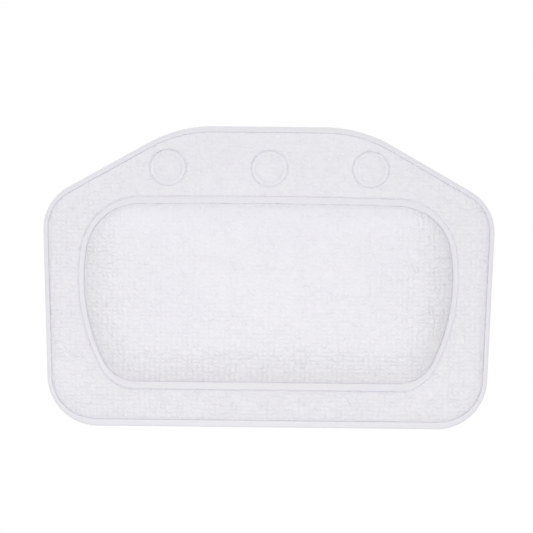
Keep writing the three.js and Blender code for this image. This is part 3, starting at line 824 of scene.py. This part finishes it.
rows = times(grain, row_wave(axes["X"], given["Row Width"]), row_wave(axes["Z"], given["Row Height"]))
pressed = sums(grain, "MULTIPLY_ADD", rows, 0.5, times(grain, pebble, 0.5))
patchy = add(grain, "ShaderNodeTexNoise", Vector=given["Place"], Scale=60.0, Detail=2.0)
depth = ranged(grain, patchy.outputs["Fac"], 0.85, 1.1, From_Min=0.35, From_Max=0.65)
fine = add(grain, "ShaderNodeTexNoise", Vector=given["Place"], Scale=900.0, Detail=2.0)
printed = times(grain, pressed, depth)
printed = sums(grain, "MULTIPLY_ADD", fine.outputs["Fac"], 0.2, printed)
kept_print = sums(grain, "SUBTRACT", 1.0, times(grain, given["Flattened"], PRESSED_OUT))
grain.links.new(times(grain, printed, kept_print), result["Height"])
# The second output is the plain relief. The vinyl uses it to paint shade in the hollows and a highlight on the tops.
grain.links.new(pressed, result["Relief For Painted Light"])
print("nodes in the print:", len(grain.nodes))

# %% [markdown]
# Plastic that is handled and rinsed isn't one colour. Broad faint clouds come from the casting, small paler
# flecks from the foam under the skin, and the shine differs a little from place to place. Each could be painted
# by hand, but noise at three sizes gives them. One group makes all three, for the sheets, the foam and the cups.

# %% Group: cast plastic
cast, given, result = new_group("cast plastic", {
    "Place": None, "Cloud Size": 0.06, "Fleck Size": 0.0012}, ["Clouds", "Flecks", "Shine"])
broad = add(cast, "ShaderNodeTexNoise", Vector=given["Place"], Detail=4.0, Roughness=0.55,
            Scale=sums(cast, "DIVIDE", 1.0, given["Cloud Size"]))
small = add(cast, "ShaderNodeTexNoise", Vector=given["Place"], Detail=2.0, Roughness=0.7,
            Scale=sums(cast, "DIVIDE", 1.0, given["Fleck Size"]))
sheen = add(cast, "ShaderNodeTexNoise", Vector=given["Place"], Scale=38.0, Detail=5.0, Roughness=0.65)
for source, label in ((broad, "Clouds"), (small, "Flecks"), (sheen, "Shine")):
    cast.links.new(ranged(cast, source.outputs["Fac"], From_Min=0.3, From_Max=0.7), result[label])
print("nodes in the plastic:", len(cast.nodes))

# %% [markdown]
# The vinyl itself is a soft white with a hint of blue and a satin skin. Its colour runs between two near whites
# with the clouds, and painted shade darkens it by a trace in the print's hollows. It is a little greyer on the
# welds, where the foam in it is squeezed, and painted shade darkens it just inside the pad's crease. On steep
# slopes the print is deeper, with painted shade in its hollows and a painted highlight on its tops. The welds
# are smoother, so they shine a little more. One even colour would be simpler, but then the print would fade
# out under soft light.

# %% Vinyl
# The crease factor paints shade just inside the pad's crease, toward the welds' grey.
RIM_GREY, WELD_GREY, CREASE_SHADE_GREY = 0.88, 0.62, 0.18
# The hollow factors paint shade into the print's hollows. The deep and top factors paint shade and a highlight on steep
# slopes.
HOLLOW_SHARE, HOLLOW_SHADE, SHADE_CONTRAST_SHARE, DEEP_SHADE, TOP_HIGHLIGHT = 0.04, 0.8, 0.9, 0.93, 1.08
SMOOTHER_WELD, SKIN_RELIEF = 0.14, 0.03 * MM

def own(tree, name):
    """The value that a piece stores at its points under a name, or 0 where it has none."""
    return add(tree, "ShaderNodeAttribute", attribute_name=name).outputs["Fac"]

def shaded(colour, factor):
    """A colour made darker or lighter by a factor."""
    return tuple(factor * part for part in colour)

def dress(tree, surface, colour, roughness, relief):
    """Feeds a Principled shader its colour, its roughness and the relief of a Bump node."""
    for label, socket in (("Base Color", colour), ("Roughness", roughness), ("Normal", relief.outputs[0])):
        tree.links.new(socket, surface.inputs[label])

def vinyl(name, light_tone, dark_tone, weld_tone_and_crease_shade, print_depth, roughness):
    """Embossed white vinyl that is smooth on its welds."""
    made, tree, surface, place = new_material(name)
    weld, rim, thin, gathered = (own(tree, stored) for stored in ("weld", "rim", "thin", "gathered"))
    mottled = add(tree, "ShaderNodeGroup", node_tree=cast, Place=place, Cloud_Size=0.05, Fleck_Size=0.0014)
    flattened = sums(tree, "SUBTRACT", weld, gathered)
    pebbled = add(tree, "ShaderNodeGroup", node_tree=grain, Place=place, Flattened=flattened)
    tone = two_tone(tree, mottled.outputs["Clouds"], dark_tone, light_tone)
    weld_grey_and_crease_shade = sums(tree, "MAXIMUM", times(tree, rim, RIM_GREY), times(tree, weld, WELD_GREY))
    # Painted shade: the vinyl is darkened just inside the pad's crease.
    weld_grey_and_crease_shade = sums(tree, "MAXIMUM", weld_grey_and_crease_shade, times(tree, thin, CREASE_SHADE_GREY))
    tone = two_tone(tree, weld_grey_and_crease_shade, tone, weld_tone_and_crease_shade)
    # Painted shade: the print's hollows are darkened a trace, except on the welds.
    hollow = times(tree, sums(tree, "SUBTRACT", 1.0, pebbled.outputs["Relief For Painted Light"]), HOLLOW_SHARE)
    hollow = times(tree, hollow, sums(tree, "SUBTRACT", 1.0, weld))
    tone = two_tone(tree, hollow, tone, shaded(dark_tone, HOLLOW_SHADE))
    # Painted shade in the hollows and a painted highlight on the tops, mixed in on steep slopes.
    painted_relief_light = two_tone(tree, pebbled.outputs["Relief For Painted Light"], shaded(dark_tone, DEEP_SHADE), shaded(light_tone, TOP_HIGHLIGHT))
    tone = two_tone(tree, times(tree, gathered, SHADE_CONTRAST_SHARE), tone, painted_relief_light)
    rough = ranged(tree, mottled.outputs["Shine"], roughness - 0.05, roughness + 0.06)
    rough = sums(tree, "SUBTRACT", rough, times(tree, weld, SMOOTHER_WELD))
    surface.inputs["IOR"].default_value = 1.46
    relief = add(tree, "ShaderNodeBump", Strength=1.0, Distance=print_depth, Height=pebbled.outputs["Height"])
    skin = add(tree, "ShaderNodeBump", Strength=0.5, Distance=SKIN_RELIEF, Height=mottled.outputs["Flecks"],
               Normal=relief.outputs[0])
    dress(tree, surface, tone, rough, skin)
    return made

# %% Front and back vinyl
front_vinyl = vinyl("white vinyl", light_tone=(0.862, 0.853, 0.905), dark_tone=(0.842, 0.833, 0.888),
                    weld_tone_and_crease_shade=(0.775, 0.767, 0.811), print_depth=0.6 * MM, roughness=0.52)
back_vinyl = vinyl("back vinyl", light_tone=(0.85, 0.843, 0.885), dark_tone=(0.83, 0.823, 0.865),
                   weld_tone_and_crease_shade=(0.775, 0.767, 0.80), print_depth=0.25 * MM, roughness=0.47)
print("vinyls:", front_vinyl.name, "and", back_vinyl.name)

# %% [markdown]
# The foam is open-celled: tiny round pits with thin walls, each painted darker towards its middle as shade in it.
# The cups are clear soft vinyl, a little milky and bluish, with faint flow marks from the mould. Glass would be
# the quick way to clear vinyl, but it is too clean.
# The cups' see-through weight is a plain value on the shader.

# %% Foam and clear vinyl
foam_look, tree, surface, place = new_material("cushion foam")
mottled = add(tree, "ShaderNodeGroup", node_tree=cast, Place=place, Cloud_Size=0.03, Fleck_Size=0.0018)
pits = add(tree, "ShaderNodeTexVoronoi", Vector=place, Scale=700.0)
# Painted shade: each pit is darker towards its middle.
tone = two_tone(tree, pits.outputs["Distance"], (0.62, 0.6, 0.56), (0.85, 0.83, 0.77))
tone = two_tone(tree, times(tree, mottled.outputs["Clouds"], 0.3), tone, (0.8, 0.76, 0.66))
relief = add(tree, "ShaderNodeBump", Distance=0.5 * MM, Height=pits.outputs["Distance"])
dress(tree, surface, tone, ranged(tree, mottled.outputs["Shine"], 0.82, 0.95), relief)

clear_vinyl, tree, surface, place = new_material("clear vinyl")
mottled = add(tree, "ShaderNodeGroup", node_tree=cast, Place=place, Cloud_Size=0.02, Fleck_Size=0.003)
tone = two_tone(tree, mottled.outputs["Clouds"], (0.86, 0.88, 0.9), (0.93, 0.94, 0.95))
surface.inputs["Transmission Weight"].default_value = 0.72
surface.inputs["IOR"].default_value = 1.5
relief = add(tree, "ShaderNodeBump", Strength=0.4, Distance=0.05 * MM, Height=mottled.outputs["Clouds"])
dress(tree, surface, tone, ranged(tree, mottled.outputs["Shine"], 0.12, 0.24), relief)
print("inside and behind:", foam_look.name, "and", clear_vinyl.name)

# %% [markdown]
# Last, every piece gets its finish and the body that it moves with, and the CAD node that it stands for is hidden.
# The pillow's own pieces share one body, and each cup, which turns about its own neck, has a body of its own.

# %% Hand over
def hand_over(piece, look, body, node):
    """Gives a piece its material and its body, and hides the CAD node that it stands for."""
    piece.data.materials.append(look)
    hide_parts(node)
    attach(piece, body)

hand_over(front_skin, front_vinyl, "pillow", "front_cover")
hand_over(back_skin, back_vinyl, "pillow", "back_cover")
hand_over(pad_block, foam_look, "pillow", "pad_foam")
hand_over(layer, foam_look, "pillow", "border_foam")
for side, piece in cup_pieces.items():
    hand_over(piece, clear_vinyl, f"cup_{side}", f"suction_cup_{side}")
